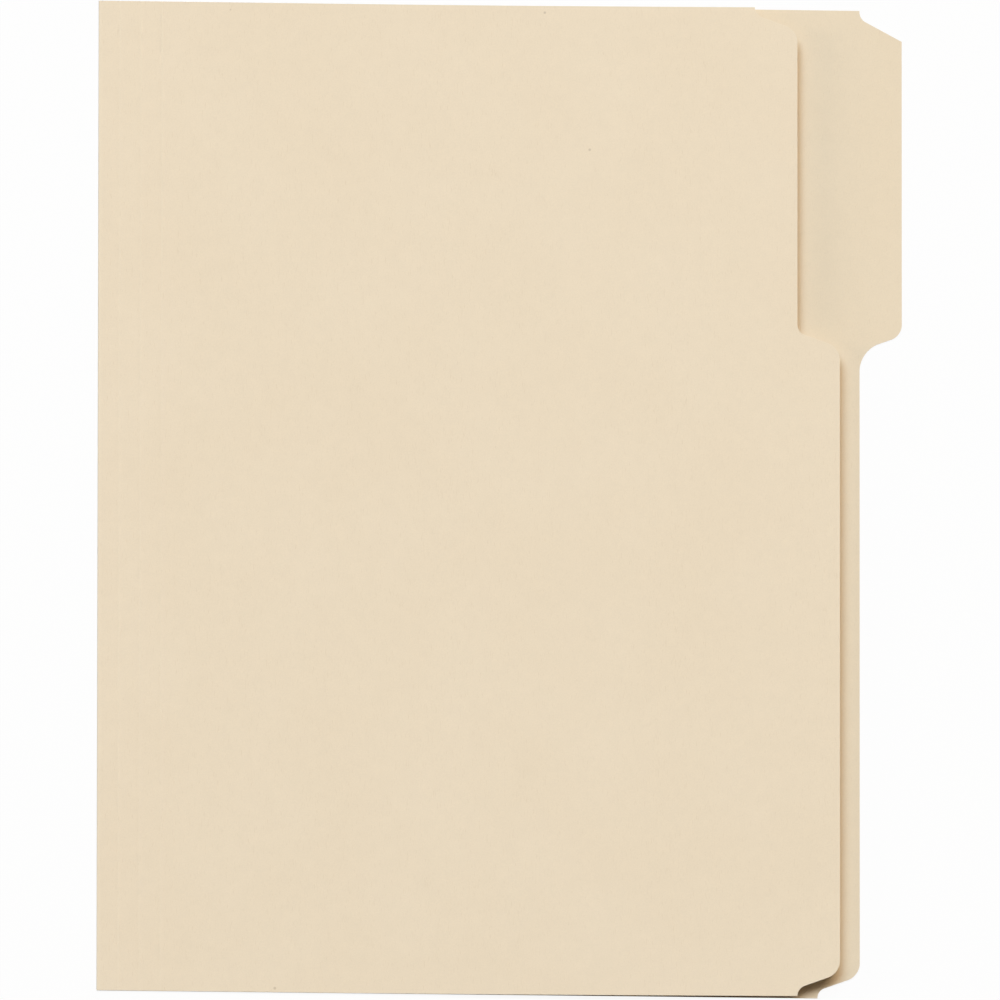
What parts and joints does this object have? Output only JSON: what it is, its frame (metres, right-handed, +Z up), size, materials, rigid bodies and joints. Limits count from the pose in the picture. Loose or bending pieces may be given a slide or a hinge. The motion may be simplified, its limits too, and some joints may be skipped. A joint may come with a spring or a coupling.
{
  "type": "file folder",
  "caption": "Manila file folder: a die-cut, folded sheet with a notched front leaf, an index tab at one end and expansion scores beside the fold.",
  "frame": {"origin": "middle of the footprint, on the surface that the back cover lies on", "axes": "+X from the fold towards the tab, +Y along the fold towards the tab's end, +Z up out of the front cover"},
  "size_m": [0.2414, 0.2984, 0.0061],
  "materials": {
    "manila_stock": "uncoated matte manila board"
  },
  "bodies": {
    "back": {"back_cover": "manila_stock", "main_fold": "manila_stock"},
    "gusset": {"gusset_strip_1": "manila_stock", "score_bead_1": "manila_stock", "gusset_strip_2": "manila_stock", "score_bead_2": "manila_stock", "gusset_strip_3": "manila_stock", "score_bead_3": "manila_stock"},
    "front": {"front_cover": "manila_stock"}
  },
  "joints": [
    {"name": "main_fold_hinge", "type": "hinge", "parent": "back", "child": "gusset", "pos_m": [-0.12027, 0, 0.00038], "axis": [0, -1, 0], "range_deg": [0, 178.6]},
    {"name": "outer_score_hinge", "type": "hinge", "parent": "gusset", "child": "front", "pos_m": [-0.1016, 0, 0.00062], "axis": [0, 1, 0], "range_deg": [-90, 0], "stiffness_Nm_per_rad": 0.02}
  ]
}
